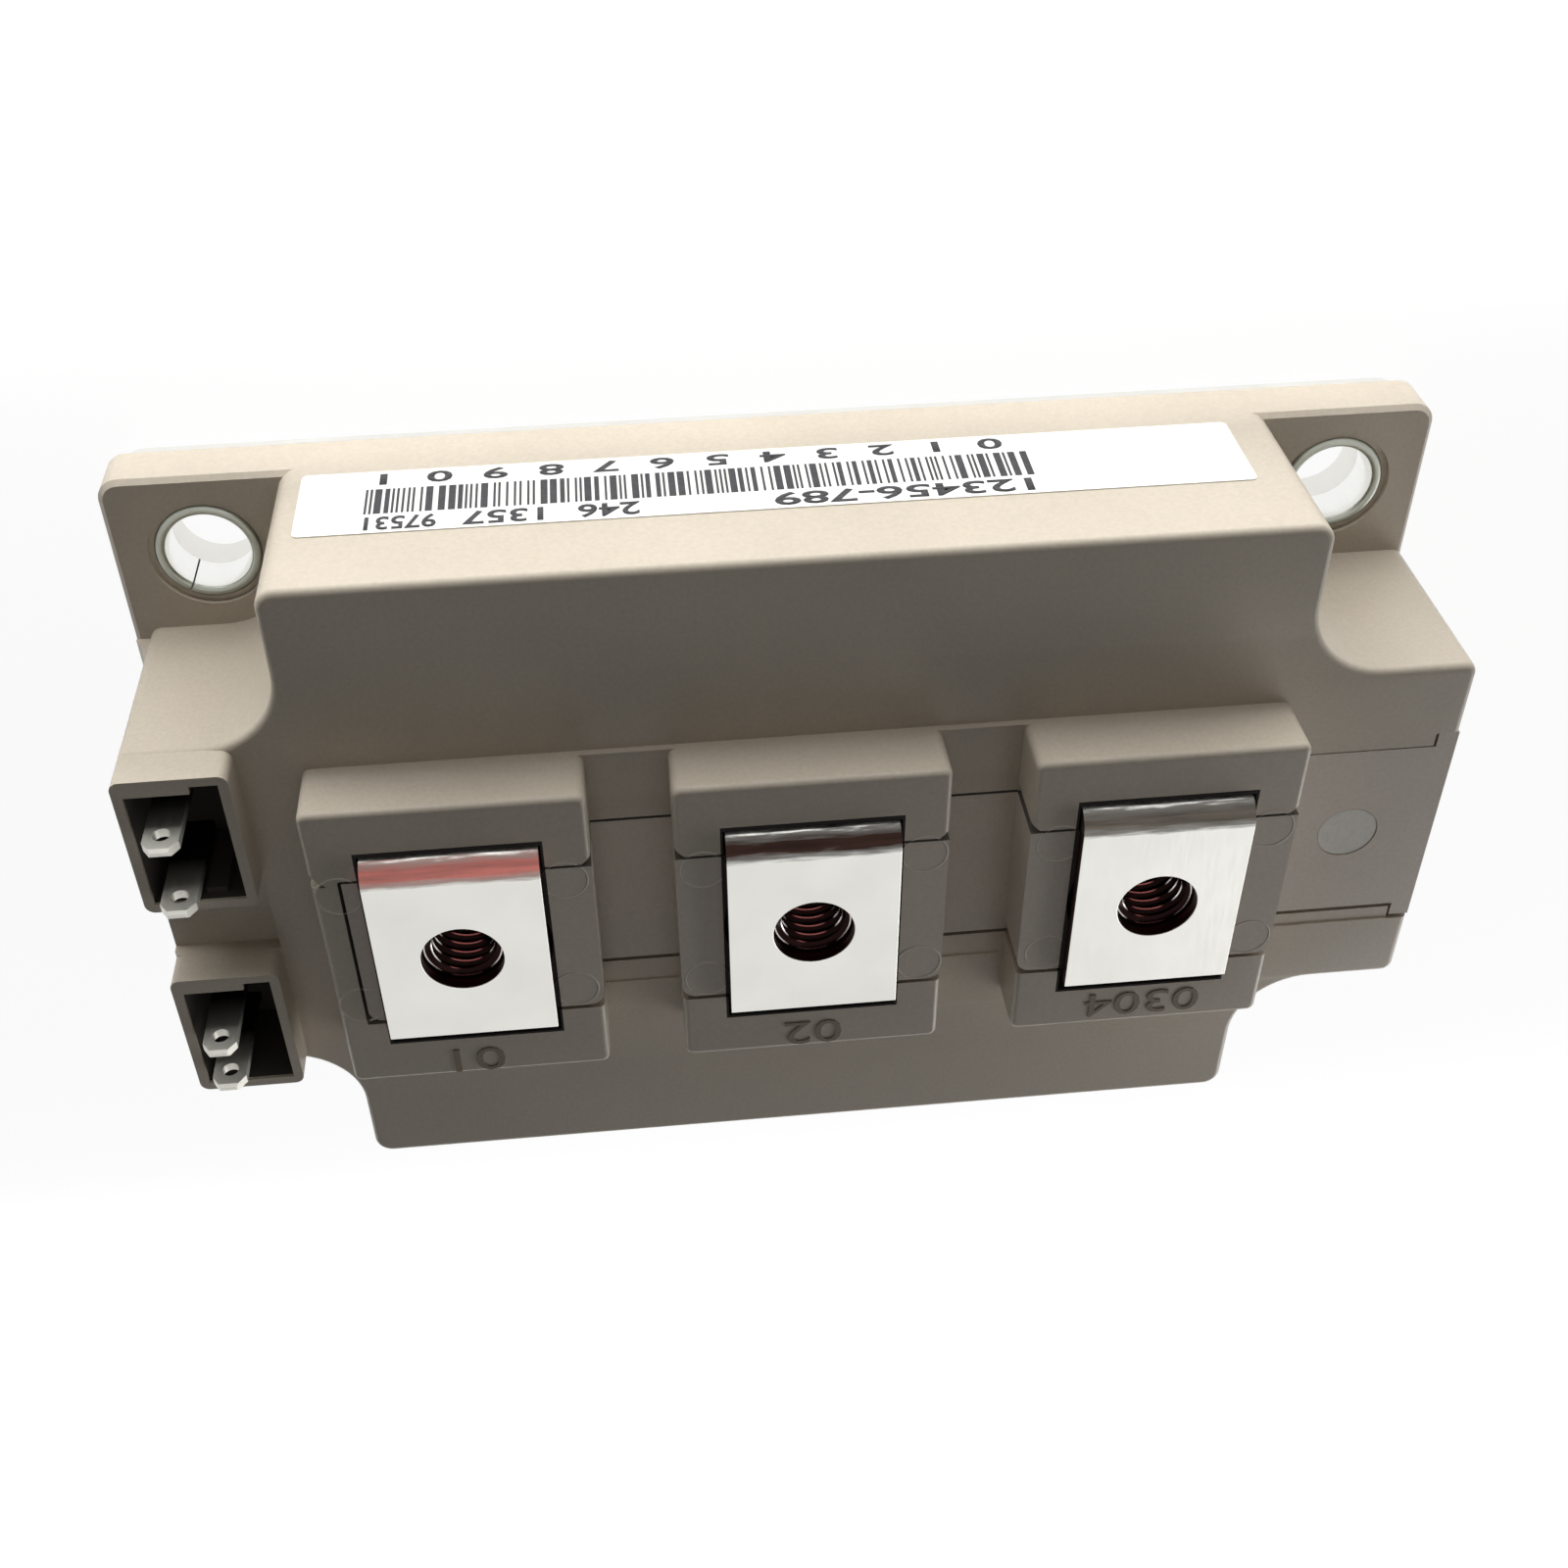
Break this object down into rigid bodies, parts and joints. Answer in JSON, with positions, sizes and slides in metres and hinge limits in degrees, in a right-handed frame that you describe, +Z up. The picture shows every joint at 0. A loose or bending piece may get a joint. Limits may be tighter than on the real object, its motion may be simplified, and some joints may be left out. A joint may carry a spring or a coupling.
{
  "type": "half-bridge transistor power module",
  "caption": "Screw-terminal power module: moulded case on a metal base plate, raised terminal blocks, captive nuts in a slide-in bar, plug sockets for control tabs at one end.",
  "frame": {"origin": "centre of the base plate's underside", "axes": "+Z up to the terminals, X along the length with the control sockets at +X, labelled wall at -Y"},
  "size_m": [0.108, 0.0621, 0.0312],
  "materials": {
    "base_plate_metal": "nickel-plated copper, satin",
    "case_plastic": "moulded, fine satin",
    "label_paper": "matt",
    "collar_steel": "zinc-plated, bright",
    "terminal_metal": "nickel-plated copper, satin",
    "nut_steel": "plated, bright",
    "tab_metal": "tin-plated, satin",
    "ceramic": "matt",
    "copper": "bare copper",
    "silicon": "smooth",
    "aluminium_wire": "bare",
    "silicone": "clear soft gel"
  },
  "bodies": {
    "root": {"base_plate": "base_plate_metal", "case": "case_plastic", "nut_bar": "case_plastic", "label": "label_paper", "screw_collar_1": "collar_steel", "screw_collar_2": "collar_steel", "screw_collar_3": "collar_steel", "screw_collar_4": "collar_steel", "collector_terminal": "terminal_metal", "emitter_terminal": "terminal_metal", "output_terminal": "terminal_metal", "terminal_nut_1": "nut_steel", "terminal_nut_2": "nut_steel", "terminal_nut_3": "nut_steel", "gate_tab_1": "tab_metal", "sense_tab_1": "tab_metal", "gate_tab_2": "tab_metal", "sense_tab_2": "tab_metal", "lower_copper_1": "copper", "ceramic_tile_1": "ceramic", "emitter_track_1": "copper", "collector_track_1": "copper", "gate_track_1": "copper", "sense_track_1": "copper", "transistor_chip_1_1": "silicon", "diode_chip_1_1": "silicon", "transistor_chip_1_2": "silicon", "diode_chip_1_2": "silicon", "bond_wires_1": "aluminium_wire", "lower_copper_2": "copper", "ceramic_tile_2": "ceramic", "emitter_track_2": "copper", "collector_track_2": "copper", "gate_track_2": "copper", "sense_track_2": "copper", "transistor_chip_2_1": "silicon", "diode_chip_2_1": "silicon", "transistor_chip_2_2": "silicon", "diode_chip_2_2": "silicon", "bond_wires_2": "aluminium_wire", "link_strap": "copper", "silicone_gel": "silicone"}
  },
  "joints": []
}
